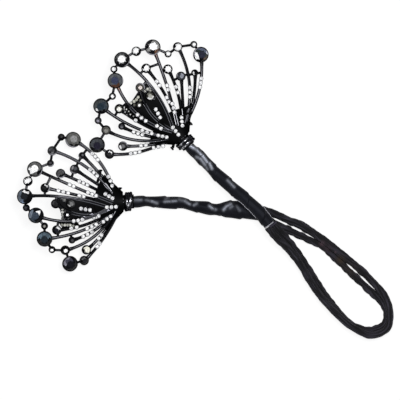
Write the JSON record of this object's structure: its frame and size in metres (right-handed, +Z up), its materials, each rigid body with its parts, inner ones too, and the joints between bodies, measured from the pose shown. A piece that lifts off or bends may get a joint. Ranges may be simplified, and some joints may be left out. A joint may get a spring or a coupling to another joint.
{
  "type": "hair bun twist",
  "caption": "Bendable hair bun twist: a cloth-covered wire band that loops and crosses, with a jewelled black metal fan at each end.",
  "frame": {"origin": "middle of the piece seen from above, on the surface it lies on", "axes": "+Z up from the surface; seen from above with the loop at the lower right, +X is to the right and +Y away"},
  "size_m": [0.1883, 0.1493, 0.0175],
  "materials": {
    "black_plating": "gloss",
    "dark_crystal": "polished",
    "satin_ribbon": "satin",
    "matte_cloth": "matte"
  },
  "bodies": {
    "root": {"wrap_upper": "satin_ribbon", "wrap_lower": "satin_ribbon", "loop_strip_outer": "matte_cloth", "loop_strip_inner": "matte_cloth", "coil_upper": "black_plating", "coil_lower": "black_plating", "frame_upper": "black_plating", "frame_lower": "black_plating", "stone_upper_rim_1": "dark_crystal", "stone_upper_rim_2": "dark_crystal", "stone_upper_rim_3": "dark_crystal", "stone_upper_rim_5": "dark_crystal", "stone_upper_rim_7": "dark_crystal", "stone_upper_rim_9": "dark_crystal", "stone_upper_rim_10": "dark_crystal", "stone_upper_rim_11": "dark_crystal", "stone_upper_rim_13": "dark_crystal", "stone_upper_rim_15": "dark_crystal", "stone_lower_rim_1": "dark_crystal", "stone_lower_rim_2": "dark_crystal", "stone_lower_rim_3": "dark_crystal", "stone_lower_rim_5": "dark_crystal", "stone_lower_rim_7": "dark_crystal", "stone_lower_rim_9": "dark_crystal", "stone_lower_rim_10": "dark_crystal", "stone_lower_rim_11": "dark_crystal", "stone_lower_rim_13": "dark_crystal", "stone_lower_rim_15": "dark_crystal", "stone_upper_inner_1": "dark_crystal", "stone_upper_inner_3": "dark_crystal", "stone_upper_inner_4": "dark_crystal", "stone_upper_inner_5": "dark_crystal", "stone_upper_inner_6": "dark_crystal", "stone_upper_inner_7": "dark_crystal", "stone_lower_inner_1": "dark_crystal", "stone_lower_inner_3": "dark_crystal", "stone_lower_inner_4": "dark_crystal", "stone_lower_inner_5": "dark_crystal", "stone_lower_inner_6": "dark_crystal", "stone_lower_inner_7": "dark_crystal", "small_stones_upper": "dark_crystal", "small_stones_lower": "dark_crystal"}
  },
  "joints": []
}
